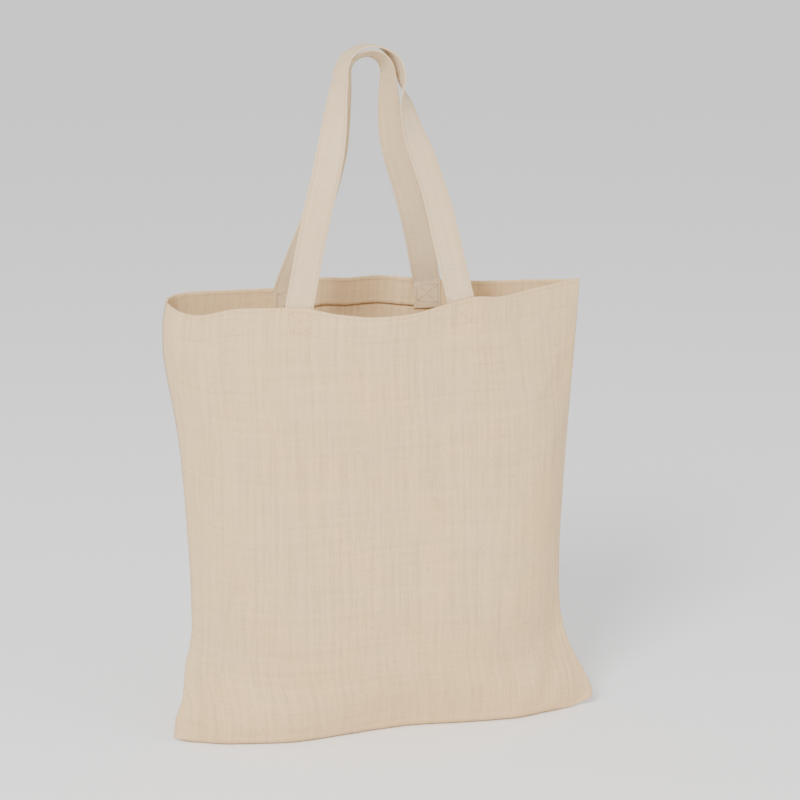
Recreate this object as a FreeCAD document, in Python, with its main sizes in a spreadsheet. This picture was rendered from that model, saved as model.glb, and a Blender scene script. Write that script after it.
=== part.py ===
import FreeCAD, Part
import Sketcher
import math
import os

from FreeCAD import Placement, Rotation, Vector

# A flat-sewn canvas tote bag, standing open. Millimetres, +Z up, origin on the floor under the
# bag's centre, X along its width, front panel towards -Y.

SIZES = {
    "cloth_thickness": 0.7,
    "rim_height": 410,
    "rim_width": 383,
    "rim_half_depth": 46,
    "shoulder_drop": 70,
    "waist_height": 150,
    "waist_width": 344,
    "waist_half_depth": 56,
    "waist_flat_half": 105,
    "hip_height": 60,
    "hip_width": 370,
    "hip_half_depth": 54,
    "turn_height": 14,
    "turn_width": 391,
    "turn_half_depth": 47,
    "base_width": 394,
    "base_half_depth": 34,
    "base_flat_half": 100,
    "hem_depth": 26,
    "hem_thickness": 1.0,
    "layer_gap": 0.15,
    "strap_width": 25.4,
    "strap_thickness": 1.4,
    "strap_gap": 0.5,
    "flat_margin": 1.5,
    "front_handle_spacing": 150,
    "back_handle_spacing": 134,
    "handle_rise": 222,
    "arch_radius": 28,
    "nest_gap": 5.0,
    "strap_start": 2.0,
    "tab_rise": 1.2,
    "tab_drop": 1.0,
    "thread_width": 0.5,
    "thread_height": 0.3,
    "thread_gap": 0.1,
    "strap_thread_gap": 0.25,
    "hem_stitch_inset": 2.5,
    "rim_stitch_inset": 3.0,
    "strap_stitch_inset": 2.5,
    "box_stitch_inset": 2.5,
    "box_stitch_margin": 4.0,
    "allowance_width": 9,
    "allowance_thickness": 1.4,
    "allowance_taper": 4,
    "allowance_gap": 0.5,
    "overlock_thickness": 0.3,
}

# Twist of a handle strap: it starts at this share of the handle's rise and ends at the apex.
TWIST_START = 0.35
LEG_STATIONS = 9
ARCH_STATIONS = 13


class Level:
    """One height of the bag's wall, as sheet expressions: height, width, half depth, flat half."""

    def __init__(self, name, height, half_width, half_depth, flat_half):
        self.name = name
        self.height = height
        self.half_width = half_width
        self.half_depth = half_depth
        self.flat_half = flat_half

    def corner_radius(self):
        """Radius of the corner arc, tangent to the flat middle and ending at the side seam."""
        reach = f"({self.half_width} - {self.flat_half})"
        return f"(({reach}^2 + ({self.half_depth})^2) / (2 * ({self.half_depth})))"

    def seam_reach(self, offset):
        """Distance from the bag's middle to where the wall, set in by offset, meets the seam plane."""
        radius = self.corner_radius()
        drop = f"({radius} - ({self.half_depth}))"
        return f"({self.flat_half} + sqrt(({radius} - ({offset}))^2 - {drop}^2))"


def cell(alias):
    return f"Sheet.{alias}"


def make_sheet(doc):
    sheet = doc.addObject("Spreadsheet::Sheet", "Sheet")
    for row, (alias, value) in enumerate(SIZES.items(), start=1):
        sheet.set(f"A{row}", alias)
        sheet.set(f"B{row}", str(value))
        sheet.setAlias(f"B{row}", alias)
    doc.recompute()
    return sheet


def hemline():
    return f"({cell('rim_height')} - {cell('hem_depth')})"


def rim_flat_half():
    """The rim stays straight as far as the outer edges of the wider handle."""
    return (
        f"({cell('front_handle_spacing')} / 2 + {cell('strap_width')} / 2"
        f" + {cell('flat_margin')})"
    )


def upper_level(name, height):
    """A level above the waist: width, depth and flat ease from the waist's to the rim's."""
    waist = cell("waist_height")
    rim_share = f"(({height} - {waist}) / ({cell('rim_height')} - {waist}))"
    hem_share = f"min(1; ({height} - {waist}) / ({hemline()} - {waist}))"
    half_width = (
        f"({cell('waist_width')} + ({cell('rim_width')} - {cell('waist_width')})"
        f" * {rim_share}^2) / 2"
    )
    half_depth = (
        f"({cell('waist_half_depth')} + ({cell('rim_half_depth')}"
        f" - {cell('waist_half_depth')}) * ({hem_share})^2)"
    )
    flat_half = (
        f"({cell('waist_flat_half')} + ({rim_flat_half()} - {cell('waist_flat_half')})"
        f" * ({hem_share}))"
    )
    return Level(name, height, f"({half_width})", half_depth, flat_half)


def wall_levels():
    shoulder = f"({cell('rim_height')} - {cell('shoulder_drop')})"
    chest = f"(({cell('waist_height')} + {shoulder}) / 2)"
    flat = cell("base_flat_half")
    lower = [
        Level("floor", "0", f"({cell('base_width')} / 2)", cell("base_half_depth"), flat),
        Level(
            "turn",
            cell("turn_height"),
            f"({cell('turn_width')} / 2)",
            cell("turn_half_depth"),
            flat,
        ),
        Level(
            "hip",
            cell("hip_height"),
            f"({cell('hip_width')} / 2)",
            cell("hip_half_depth"),
            cell("waist_flat_half"),
        ),
    ]
    upper = [
        upper_level("waist", cell("waist_height")),
        upper_level("chest", chest),
        upper_level("shoulder", shoulder),
        upper_level("hemline", hemline()),
        upper_level("rim", cell("rim_height")),
    ]
    return lower + upper


def wall_insets(levels):
    """The inner face's offset at each level: doubled at the first, where the underside joins."""
    thick = cell("cloth_thickness")
    return [f"(2 * {thick})"] + [thick] * (len(levels) - 1)


def stitch_level(name, height):
    """A level between the hemline and the rim, on the straight run between those two."""
    low = upper_level("hemline", hemline())
    high = upper_level("rim", cell("rim_height"))
    share = f"(({height} - {hemline()}) / {cell('hem_depth')})"
    half_width = f"({low.half_width} + ({high.half_width} - {low.half_width}) * {share})"
    return Level(name, height, half_width, low.half_depth, low.flat_half)


def value_of(doc, expression):
    """The number that an expression gives for the sheet's values."""
    result = doc.getObject("Sheet").evalExpression(expression.replace("Sheet.", ""))
    return float(getattr(result, "Value", result))


def ground_plane(body):
    for feature in body.Origin.OriginFeatures:
        if feature.Role == "XY_Plane":
            return feature
    raise ValueError(f"{body.Name} has no XY plane")


def new_body(doc, label):
    body = doc.addObject("PartDesign::Body", f"Body_{label}")
    body.Label = label
    return body


def new_sketch(body, name, height):
    """A level sketch at this height."""
    sketch = body.newObject("Sketcher::SketchObject", name)
    sketch.AttachmentSupport = [(ground_plane(body), "")]
    sketch.MapMode = "FlatFace"
    sketch.setExpression("AttachmentOffset.Base.z", height)
    return sketch


def bind(doc, sketch, kind, index, point, expression):
    """Holds a sketch point's X or Y at an expression of the sheet."""
    value = value_of(doc, expression)
    number = sketch.addConstraint(
        Sketcher.Constraint(kind, -1, 1, index, point, value)
    )
    sketch.setExpression(f"Constraints[{number}]", expression)


def join(sketch, first, first_point, second, second_point):
    sketch.addConstraint(
        Sketcher.Constraint("Coincident", first, first_point, second, second_point)
    )


def arc_to_seam(doc, sketch, side, sign, level, offset):
    """The corner arc of the wall at this offset.

    Returns its index, and which of its points (1 start, 2 end) meet the flat and the seam.
    """
    radius = value_of(doc, level.corner_radius())
    depth = value_of(doc, level.half_depth)
    flat = value_of(doc, level.flat_half)
    inset = value_of(doc, offset)
    centre = Vector(side * flat, sign * (depth - radius), 0)
    circle = Part.Circle(centre, Vector(0, 0, 1), radius - inset)
    flat_angle = sign * math.pi / 2
    rise = math.asin((radius - depth) / (radius - inset))
    seam_angle = sign * (rise if side > 0 else math.pi - rise)
    low, high = sorted((flat_angle, seam_angle))
    index = sketch.addGeometry(Part.ArcOfCircle(circle, low, high), False)
    flat_point, seam_point = (1, 2) if low == flat_angle else (2, 1)
    text_side = "" if side > 0 else "-1 * "
    text_sign = "" if sign > 0 else "-1 * "
    drop = f"({level.half_depth} - {level.corner_radius()})"
    bind(doc, sketch, "DistanceX", index, 3, f"{text_side}({level.flat_half})")
    bind(doc, sketch, "DistanceY", index, 3, f"{text_sign}{drop}")
    sketch.addConstraint(Sketcher.Constraint("PointOnObject", index, seam_point, -1))
    return index, flat_point, seam_point


def flat_run(doc, sketch, sign, level, offset):
    """The wall's straight middle at this offset, from -X to +X."""
    flat = value_of(doc, level.flat_half)
    reach = sign * (value_of(doc, level.half_depth) - value_of(doc, offset))
    line = Part.LineSegment(Vector(-flat, reach, 0), Vector(flat, reach, 0))
    index = sketch.addGeometry(line, False)
    text_sign = "" if sign > 0 else "-1 * "
    for point, text_side in ((1, "-1 * "), (2, "")):
        bind(doc, sketch, "DistanceX", index, point, f"{text_side}({level.flat_half})")
        bind(
            doc,
            sketch,
            "DistanceY",
            index,
            point,
            f"{text_sign}({level.half_depth} - ({offset}))",
        )
    return index


def outline(doc, sketch, sign, level, offset):
    """One side of a band: corner arc, flat, corner arc. Returns the seam ends, left and right."""
    flat = flat_run(doc, sketch, sign, level, offset)
    ends = []
    for side, point in ((-1, 1), (1, 2)):
        arc, flat_point, seam_point = arc_to_seam(doc, sketch, side, sign, level, offset)
        join(sketch, flat, point, arc, flat_point)
        ends.append((arc, seam_point))
    return ends


def close_ends(sketch, first, second):
    """Straight lines on the seam plane between two outlines' ends."""
    for start, stop in zip(first, second):
        line = Part.LineSegment(sketch.getPoint(*start), sketch.getPoint(*stop))
        index = sketch.addGeometry(line, False)
        join(sketch, index, 1, *start)
        join(sketch, index, 2, *stop)


def band_sketch(doc, body, name, sign, level, height, outer, inner):
    """A closed band between two offsets from the wall's outer face, at one height."""
    sketch = new_sketch(body, name, height)
    close_ends(
        sketch,
        outline(doc, sketch, sign, level, outer),
        outline(doc, sketch, sign, level, inner),
    )
    return sketch


def loft(body, name, sketches):
    feature = body.newObject("PartDesign::AdditiveLoft", name)
    feature.Profile = sketches[0]
    feature.Sections = sketches[1:]
    feature.Ruled = False
    for sketch in sketches:
        sketch.Visibility = False
    return feature


def make_panel(doc, side, sign):
    """A body panel: the wall from the floor to the rim, and its half of the underside."""
    body = new_body(doc, f"{side}_panel")
    levels = wall_levels()
    insets = wall_insets(levels)
    for part, first, last in (("wall", 0, -1), ("rim_wall", -2, None)):
        bands = [
            band_sketch(
                doc, body, f"{side}_{part}_{level.name}", sign, level, level.height, "0", inset
            )
            for level, inset in zip(levels[first:last], insets[first:last])
        ]
        loft(body, f"{side}_{part}", bands)
    sketch = new_sketch(body, f"{side}_underside_outline", "0")
    ends = outline(doc, sketch, sign, levels[0], f"({cell('cloth_thickness')} / 2)")
    line = Part.LineSegment(sketch.getPoint(*ends[0]), sketch.getPoint(*ends[1]))
    index = sketch.addGeometry(line, False)
    join(sketch, index, 1, *ends[0])
    join(sketch, index, 2, *ends[1])
    underside = body.newObject("PartDesign::Pad", f"{side}_underside")
    underside.Profile = sketch
    underside.setExpression("Length", cell("cloth_thickness"))
    return body


def make_hem(doc, side, sign):
    """The rim's cloth turned down inside the panel."""
    body = new_body(doc, f"{side}_hem")
    outer = f"({cell('cloth_thickness')} + {cell('layer_gap')})"
    inner = f"({outer} + {cell('hem_thickness')})"
    bands = [
        band_sketch(
            doc, body, f"{side}_hem_{level.name}", sign, level, level.height, outer, inner
        )
        for level in wall_levels()[-2:]
    ]
    loft(body, f"{side}_hem_fold", bands)
    return body


def make_row(doc, label, sign, height, outer):
    """A row of lockstitch thread round one panel, lying from outer inwards."""
    body = new_body(doc, label)
    level = stitch_level(label, height)
    inner = f"({outer} + {cell('thread_height')})"
    sketch = band_sketch(doc, body, f"{label}_path", sign, level, height, outer, inner)
    pad = body.newObject("PartDesign::Pad", f"{label}_thread")
    pad.Profile = sketch
    pad.setExpression("Length", cell("thread_width"))
    return body


def make_rows(doc, side, sign):
    """Both hem rows, each with its outer and inner thread."""
    outside = f"(-1 * ({cell('thread_gap')} + {cell('thread_height')}))"
    inside = (
        f"({cell('cloth_thickness')} + {cell('layer_gap')} + {cell('hem_thickness')}"
        f" + {cell('thread_gap')})"
    )
    heights = {
        "hem": f"({hemline()} + {cell('hem_stitch_inset')})",
        "rim": f"({cell('rim_height')} - {cell('rim_stitch_inset')})",
    }
    bodies = []
    for row, height in heights.items():
        for face, offset in (("outer", outside), ("inner", inside)):
            label = f"{side}_{row}_stitch_{face}"
            bodies.append(make_row(doc, label, sign, height, offset))
    return bodies


def polygon_sketch(doc, body, name, height, corners):
    """A closed polygon whose corners are pairs of sheet expressions."""
    sketch = new_sketch(body, name, height)
    points = [Vector(value_of(doc, x), value_of(doc, y), 0) for x, y in corners]
    count = len(points)
    lines = [
        sketch.addGeometry(Part.LineSegment(points[i], points[(i + 1) % count]), False)
        for i in range(count)
    ]
    for i, line in enumerate(lines):
        join(sketch, line, 2, lines[(i + 1) % count], 1)
        bind(doc, sketch, "DistanceX", line, 1, corners[i][0])
        bind(doc, sketch, "DistanceY", line, 1, corners[i][1])
    return sketch


def allowance_levels():
    """The side allowance's levels, each with its name, its height and its tip at the seam.

    They run from just above the underside to just below the hem.
    """
    levels = wall_levels()[:-1]
    gap = cell("allowance_gap")
    heights = [level.height for level in levels]
    heights[0] = f"({cell('cloth_thickness')} + {gap})"
    heights[-1] = f"({levels[-1].height} - {gap})"
    return [
        (level.name, height, f"({level.seam_reach(inset)} - {gap})")
        for level, height, inset in zip(levels, heights, wall_insets(levels))
    ]


def make_side_allowance(doc, side, text_side):
    """The two panels' edges, sewn together and pointing into the bag, tapered to the seam."""
    body = new_body(doc, f"{side}_seam_allowance")
    half = f"({cell('allowance_thickness')} / 2)"
    sketches = []
    for name, height, tip in allowance_levels():
        neck = f"({tip} - {cell('allowance_taper')})"
        edge = f"({tip} - {cell('allowance_width')})"
        corners = [
            (f"{text_side}{tip}", "0"),
            (f"{text_side}{neck}", half),
            (f"{text_side}{edge}", half),
            (f"{text_side}{edge}", f"-1 * {half}"),
            (f"{text_side}{neck}", f"-1 * {half}"),
        ]
        sketches.append(
            polygon_sketch(doc, body, f"{side}_seam_{name}", height, corners)
        )
    loft(body, f"{side}_seam", sketches)
    return body


def make_side_overlock(doc, side, text_side):
    """The overlock thread along the side allowance's cut edge."""
    body = new_body(doc, f"{side}_seam_overlock")
    half = f"({cell('allowance_thickness')} / 2)"
    sketches = []
    for name, height, tip in allowance_levels():
        near = f"({tip} - {cell('allowance_width')} - {cell('thread_gap')})"
        far = f"({near} - {cell('overlock_thickness')})"
        corners = [
            (f"{text_side}{near}", f"-1 * {half}"),
            (f"{text_side}{near}", half),
            (f"{text_side}{far}", half),
            (f"{text_side}{far}", f"-1 * {half}"),
        ]
        sketches.append(
            polygon_sketch(doc, body, f"{side}_overlock_{name}", height, corners)
        )
    loft(body, f"{side}_overlock", sketches)
    return body


def make_box(doc, label, size, corner):
    """A Part::Box whose size and low corner are sheet expressions."""
    box = doc.addObject("Part::Box", f"Box_{label}")
    box.Label = label
    for prop, expression in zip(("Length", "Width", "Height"), size):
        box.setExpression(prop, expression)
    for axis, expression in zip("xyz", corner):
        box.setExpression(f"Placement.Base.{axis}", expression)
    return box


def make_bottom_seam(doc):
    """The bottom allowance stands up inside, between the side allowances."""
    tips = [tip for name, height, tip in allowance_levels()[:2]]
    half_length = (
        f"(min({tips[0]}; {tips[1]}) - {cell('allowance_width')} - {cell('thread_gap')}"
        f" - {cell('overlock_thickness')} - {cell('allowance_gap')})"
    )
    half = f"({cell('allowance_thickness')} / 2)"
    allowance = make_box(
        doc,
        "bottom_seam_allowance",
        (f"2 * {half_length}", cell("allowance_thickness"), cell("allowance_width")),
        (f"-1 * {half_length}", f"-1 * {half}", cell("cloth_thickness")),
    )
    overlock = make_box(
        doc,
        "bottom_seam_overlock",
        (f"2 * {half_length}", cell("allowance_thickness"), cell("overlock_thickness")),
        (
            f"-1 * {half_length}",
            f"-1 * {half}",
            f"{cell('cloth_thickness')} + {cell('allowance_width')} + {cell('thread_gap')}",
        ),
    )
    return [allowance, overlock]


def strap_inset():
    """From the panel's outer face to the near face of a strap sewn inside the hem."""
    return (
        f"({cell('cloth_thickness')} + {cell('layer_gap')} + {cell('hem_thickness')}"
        f" + {cell('strap_gap')})"
    )


def signed(sign, near, thickness):
    """Low Y corner of a slab that starts near from the middle and is that thick inwards."""
    if sign < 0:
        return f"(-1 * {near})"
    return f"({near} - {thickness})"


def make_tab(doc, side, sign, end, text_side, spacing):
    """The sewn-down end of a handle strap, inside the hem."""
    thickness = cell("strap_thickness")
    near = f"({cell('rim_half_depth')} - {strap_inset()})"
    height = f"({cell('hem_depth')} - {cell('tab_drop')} + {cell('tab_rise')})"
    return make_box(
        doc,
        f"{side}_{end}_handle_end",
        (cell("strap_width"), thickness, height),
        (
            f"{text_side}({spacing} / 2) - {cell('strap_width')} / 2",
            signed(sign, near, thickness),
            f"{hemline()} + {cell('tab_drop')}",
        ),
    )


def make_bar(doc, name, length, angle, middle, low_y, depth):
    """A straight run of thread on a face parallel to XZ, centred on middle."""
    box = doc.addObject("Part::Box", name)
    wide = cell("thread_width")
    box.setExpression("Length", length)
    box.setExpression("Width", depth)
    box.setExpression("Height", wide)
    box.Placement = Placement(Vector(), Rotation(Vector(0, 1, 0), 1))
    box.setExpression("Placement.Rotation.Angle", angle)
    box.setExpression(
        "Placement.Base.x",
        f"{middle[0]} - ({length} / 2 * cos({angle}) + {wide} / 2 * sin({angle}))",
    )
    box.setExpression("Placement.Base.y", low_y)
    box.setExpression(
        "Placement.Base.z",
        f"{middle[1]} - ({wide} / 2 * cos({angle}) - {length} / 2 * sin({angle}))",
    )
    return box


def make_box_stitch(doc, side, sign, end, text_side, spacing):
    """The square and cross of thread that hold a strap's end, on both faces of the rim."""
    label = f"{side}_{end}_box_stitch"
    inset = cell("box_stitch_inset")
    wide = f"({cell('strap_width')} - 2 * {inset})"
    tall = f"({cell('hem_depth')} - {cell('tab_drop')} - 2 * {cell('box_stitch_margin')})"
    slant = f"atan({tall} / {wide})"
    across = f"(sqrt({wide}^2 + {tall}^2))"
    middle_x = f"({text_side}({spacing} / 2))"
    middle_z = f"({cell('rim_height')} - ({cell('hem_depth')} - {cell('tab_drop')}) / 2)"
    depth = cell("thread_height")
    inner_near = (
        f"({cell('rim_half_depth')} - {strap_inset()} - {cell('strap_thickness')}"
        f" - {cell('thread_gap')})"
    )
    outer_near = f"({cell('rim_half_depth')} + {cell('thread_gap')} + {depth})"
    runs = [
        ("low", wide, "0", (middle_x, f"({middle_z} - {tall} / 2)")),
        ("high", wide, "0", (middle_x, f"({middle_z} + {tall} / 2)")),
        ("left", tall, "90", (f"({middle_x} - {wide} / 2)", middle_z)),
        ("right", tall, "90", (f"({middle_x} + {wide} / 2)", middle_z)),
        ("rising", across, f"(-1 * {slant})", (middle_x, middle_z)),
        ("falling", across, slant, (middle_x, middle_z)),
    ]
    faces = []
    for face, near in (("inner", inner_near), ("outer", outer_near)):
        bars = [
            make_bar(
                doc, f"{label}_{face}_{run}", length, angle, middle,
                signed(sign, near, depth), depth,
            )
            for run, length, angle, middle in runs
        ]
        fuse = doc.addObject("Part::MultiFuse", f"{label}_{face}")
        fuse.Shapes = bars
        faces.append(fuse)
    both = doc.addObject("Part::Compound", f"Both_{label}")
    both.Label = label
    both.Links = faces
    return both


class Handle:
    """One carrying handle: a strap that rises from the rim, twists and arches over.

    side is its sign along Y (-1 front, 1 back) and nest lowers and narrows the arch of the
    handle that passes under the other one.
    """

    def __init__(self, sheet, sign, spacing, nest):
        self.sign = sign
        self.width = sheet.strap_width
        self.thickness = sheet.strap_thickness
        inset = (
            sheet.cloth_thickness
            + sheet.layer_gap
            + sheet.hem_thickness
            + sheet.strap_gap
            + self.thickness / 2
        )
        self.base_x = spacing / 2
        self.base_y = sheet.rim_half_depth - inset
        self.base_z = sheet.rim_height + sheet.strap_start
        self.radius = sheet.arch_radius - nest
        self.apex_z = sheet.rim_height + sheet.handle_rise - self.thickness / 2 - nest

    def flat_path(self):
        """Points of the strap's middle line in the XZ plane, from the left end to the right."""
        centre_z = self.apex_z - self.radius
        drop = centre_z - self.base_z
        reach = math.hypot(self.base_x, drop)
        lean = math.atan2(drop, self.base_x)
        touch = math.acos(self.radius / reach) - lean
        touch_x = self.radius * math.cos(touch)
        touch_z = centre_z + self.radius * math.sin(touch)
        leg = [
            (
                self.base_x + (touch_x - self.base_x) * i / LEG_STATIONS,
                self.base_z + (touch_z - self.base_z) * i / LEG_STATIONS,
            )
            for i in range(LEG_STATIONS)
        ]
        arch = [
            (self.radius * math.cos(a), centre_z + self.radius * math.sin(a))
            for a in (
                touch + (math.pi - 2 * touch) * i / (ARCH_STATIONS - 1)
                for i in range(ARCH_STATIONS)
            )
        ]
        left = [(-x, z) for x, z in leg]
        return left + arch[::-1] + leg[::-1]

    def stations(self):
        """Middle point, width direction and face normal at each station."""
        flat = self.flat_path()
        rise = self.apex_z - self.base_z
        points = [
            Vector(x, self.sign * self.base_y * (1 - (z - self.base_z) / rise), z)
            for x, z in flat
        ]
        found = []
        for i, point in enumerate(points):
            if i == 0:
                along = Vector(0, 0, 1)
            elif i == len(points) - 1:
                along = Vector(0, 0, -1)
            else:
                along = (points[i + 1] - points[i - 1]).normalize()
            share = (point.z - self.base_z) / rise
            turn = min(1.0, max(0.0, (share - TWIST_START) / (1 - TWIST_START)))
            twist = math.pi / 2 * turn * turn * (3 - 2 * turn)
            level = Vector(0, 1, 0)
            level = (level - along * level.dot(along)).normalize()
            outward = along.cross(level)
            normal = level * (self.sign * math.cos(twist)) + outward * math.sin(twist)
            found.append((point, along.cross(normal).normalize(), normal.normalize()))
        return found

    def ribbon(self, middle, width, rise, thickness):
        """A solid along the strap: middle and width across it, rise and thickness off its face."""
        wires = []
        for point, across, normal in self.stations():
            corners = [
                point + across * (middle + a * width / 2) + normal * (rise + b * thickness / 2)
                for a, b in ((-1, -1), (1, -1), (1, 1), (-1, 1))
            ]
            wires.append(Part.makePolygon(corners + [corners[0]]))
        return Part.makeLoft(wires, True, False)

    def strap(self):
        return self.ribbon(0, self.width, 0, self.thickness)

    def edge_stitches(self, sheet):
        """Two rows near the edges, each with a thread on both faces."""
        row = self.width / 2 - sheet.strap_stitch_inset
        lift = self.thickness / 2 + sheet.strap_thread_gap + sheet.thread_height / 2
        return Part.makeCompound(
            [
                self.ribbon(edge * row, sheet.thread_width, face * lift, sheet.thread_height)
                for edge in (-1, 1)
                for face in (-1, 1)
            ]
        )


def make_handle(doc, sheet, side, sign, spacing, nest):
    handle = Handle(sheet, sign, spacing, nest)
    made = []
    for label, shape in (
        (f"{side}_handle", handle.strap()),
        (f"{side}_handle_edge_stitch", handle.edge_stitches(sheet)),
    ):
        feature = doc.addObject("Part::Feature", f"Strap_{label}")
        feature.Label = label
        feature.Shape = shape
        feature.Placement = Placement()
        made.append(feature)
    return made


def build(doc):
    """Every sub-part of the bag, in order."""
    sheet = make_sheet(doc)
    parts = []
    for side, sign in (("front", -1), ("back", 1)):
        spacing = cell(f"{side}_handle_spacing")
        parts.append(make_panel(doc, side, sign))
        parts.append(make_hem(doc, side, sign))
        parts.extend(make_rows(doc, side, sign))
        for end, text_side in (("left", "-1 * "), ("right", "")):
            parts.append(make_tab(doc, side, sign, end, text_side, spacing))
            parts.append(make_box_stitch(doc, side, sign, end, text_side, spacing))
    for side, text_side in (("left", "-1 * "), ("right", "")):
        parts.append(make_side_allowance(doc, side, text_side))
        parts.append(make_side_overlock(doc, side, text_side))
    parts.extend(make_bottom_seam(doc))
    doc.recompute()
    nest = sheet.strap_thickness + sheet.nest_gap
    parts.extend(make_handle(doc, sheet, "front", -1, sheet.front_handle_spacing, 0))
    parts.extend(make_handle(doc, sheet, "back", 1, sheet.back_handle_spacing, nest))
    doc.recompute()
    return parts


def check(doc, parts):
    for item in doc.Objects:
        if "Invalid" in item.State or "Error" in item.State:
            raise RuntimeError(f"{item.Name} failed: {item.State}")
    for item in parts:
        if item.Shape.isNull() or not item.Shape.isValid() or not item.Shape.Solids:
            raise RuntimeError(f"{item.Label} has no valid solid")


def main():
    doc = FreeCAD.newDocument("tote_bag")
    parts = build(doc)
    check(doc, parts)
    os.makedirs("parts", exist_ok=True)
    for item in parts:
        item.Shape.exportStep(f"parts/{item.Label}.step")
        box = item.Shape.BoundBox
        print(
            item.Label, len(item.Shape.Solids), round(item.Shape.Volume, 1),
            [round(v, 1) for v in (box.XMin, box.YMin, box.ZMin, box.XMax, box.YMax, box.ZMax)],
        )


main()
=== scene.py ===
import math

import bpy
import numpy as np
from mathutils import Matrix


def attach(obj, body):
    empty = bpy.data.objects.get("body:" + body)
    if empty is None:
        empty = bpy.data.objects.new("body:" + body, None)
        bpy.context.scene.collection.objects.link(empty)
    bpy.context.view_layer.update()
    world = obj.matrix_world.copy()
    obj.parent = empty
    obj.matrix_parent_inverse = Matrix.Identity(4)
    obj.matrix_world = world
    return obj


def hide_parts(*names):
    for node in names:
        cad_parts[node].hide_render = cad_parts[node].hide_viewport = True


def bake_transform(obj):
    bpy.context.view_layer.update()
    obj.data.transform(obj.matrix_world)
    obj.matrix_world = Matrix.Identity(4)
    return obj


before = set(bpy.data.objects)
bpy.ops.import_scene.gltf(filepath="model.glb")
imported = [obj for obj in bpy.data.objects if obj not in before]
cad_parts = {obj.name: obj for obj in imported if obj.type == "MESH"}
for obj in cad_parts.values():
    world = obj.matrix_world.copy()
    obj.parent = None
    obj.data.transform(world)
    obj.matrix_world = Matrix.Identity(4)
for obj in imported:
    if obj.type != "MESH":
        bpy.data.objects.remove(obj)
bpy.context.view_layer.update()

# Lengths are in millimetres in this script's own geometry and are scaled to metres when a mesh
# is made. The front panel faces -Y, X runs along the bag's width, and +Z is up.
MM = 0.001

CLOTH = 0.7                 # one layer of canvas
ROLL = 0.62                 # radius of the fold along the rim, on the cloth's middle
HEM_DEPTH = 26.0
HEM_ROW = 23.5              # lower stitch row, below the rim
RIM_ROW = 3.2               # upper stitch row, below the rim
STRAP_WIDTH = 25.4
STRAP_THICKNESS = 1.4
STRAP_ROW = 10.2            # the strap's stitch rows, from its middle
TAB_DEPTH = 25.0            # how far the strap's ends reach down inside the hem
BOX_HALF = 10.0             # half width of the box stitch
BOX_TOP, BOX_LOW = 4.5, 21.5   # its top and bottom below the rim
TAB_GAP = 0.25              # between the hem and the strap's end
LEG_START = 411.0           # height where the straps come out of the hem
THREAD_LIFT = 0.15          # a stitch on the hem's inner face stands off it by this much
ALLOWANCE_WIDTH = 9.0
ALLOWANCE_THICKNESS = 1.3
OVERLOCK_LOOPS = 124
OVERLOCK_RADIUS = 0.24
FRONT, BACK = -1, 1

# Heights of the cloth's small relief.
BROAD_WAVE, MEDIUM_WAVE, FINE_WAVE, HEM_PUCKER = 0.9, 0.28, 0.05, 0.22
ROW_DENT = 0.3              # a stitch row draws the cloth in by this much
HEM_STEP = 0.25             # the hem's edge shows through the panel
RIM_CALM = 45.0             # folds and waves die out this far below the rim

# The side seams as (height, x).
LEFT_SEAM = [
    (0, -191), (20, -189), (42, -181.5), (52, -180.3), (75, -177.5), (95, -172.5),
    (115, -170.5), (150, -170.5), (183, -171.5), (230, -173.5), (277, -176.5), (323, -182.5),
    (347, -186.2), (370, -188.8), (390, -188.5), (413, -185),
]
RIGHT_SEAM = [
    (0, 206), (12, 212), (22, 209.5), (36, 203), (60, 190.3), (83, 182.6), (107, 178.6),
    (127, 177.8), (157, 178), (205, 180.4), (253, 183.6), (301, 187.3), (345, 191),
    (390, 194.6), (415, 196.3),
]
# Half depth of the bag as (height, depth).
DEPTH = [(0, 22), (15, 29), (50, 38), (100, 44), (180, 47), (300, 47), (384, 47), (420, 47)]
# How boxy the section is at each side: (height, exponent) and how pinched: (height, exponent).
LEFT_BOX = [(0, 2.4), (60, 3.2), (150, 4.2), (300, 4.0), (420, 4.0)]
RIGHT_BOX = [(0, 3.0), (60, 3.6), (130, 6.5), (330, 7.0), (420, 5.0)]
LEFT_PINCH = [(0, 1.1), (80, 0.9), (200, 0.8), (420, 0.7)]
RIGHT_PINCH = [(0, 1.7), (60, 1.4), (130, 1.0), (420, 1.0)]
# The rim as (share of the half width, depth, height).
FRONT_RIM = [
    (-1, 0, 413), (-0.985, 14, 411.5), (-0.95, 28, 409), (-0.88, 38, 407), (-0.7, 44, 412),
    (-0.42, 46, 410.5),
    (-0.22, 52, 403.5), (-0.03, 55, 400), (0.12, 53, 401), (0.28, 46, 406.5),
    (0.44, 42, 411.5), (0.56, 34, 409), (0.8, 16, 413), (1, 0, 415.3),
]
BACK_RIM = [
    (-1, 0, 414), (-0.985, 12, 414.8), (-0.92, 26, 415.7), (-0.8, 35, 415), (-0.65, 41, 413.5),
    (-0.42, 46, 412.5),
    (-0.3, 48, 416.5), (-0.2, 51, 419), (-0.08, 54, 417), (0.05, 54, 418), (0.22, 48, 415.5),
    (0.37, 45, 413), (0.55, 32, 412), (0.77, 14, 414.4), (1, 0, 415.3),
]
RIM_BLEND = 150.0           # over this height the rim's own outline takes over
# The front edge of the underside as (share of the half width, share of the usual depth).
FOOT = [(-1, 2.4), (-0.85, 2.1), (-0.68, 1.85), (-0.45, 1.5), (-0.2, 1.05), (0.08, 0.7),
        (0.35, 0.92), (0.6, 1.25), (0.8, 1.6), (1, 2.0)]
FOOT_FADE = 70.0
CORNER_LIFT = {-1: 3.0, 1: 5.5}
TURN_RADIUS = 8.0
SEAM_ROOM = 1.1             # room for the seam allowance between the panels at their edges
SEAM_SHARE = 0.02           # over this share of the half width
RELIEF_SHARE = 0.06         # folds and waves grow over this share of the half width

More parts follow.
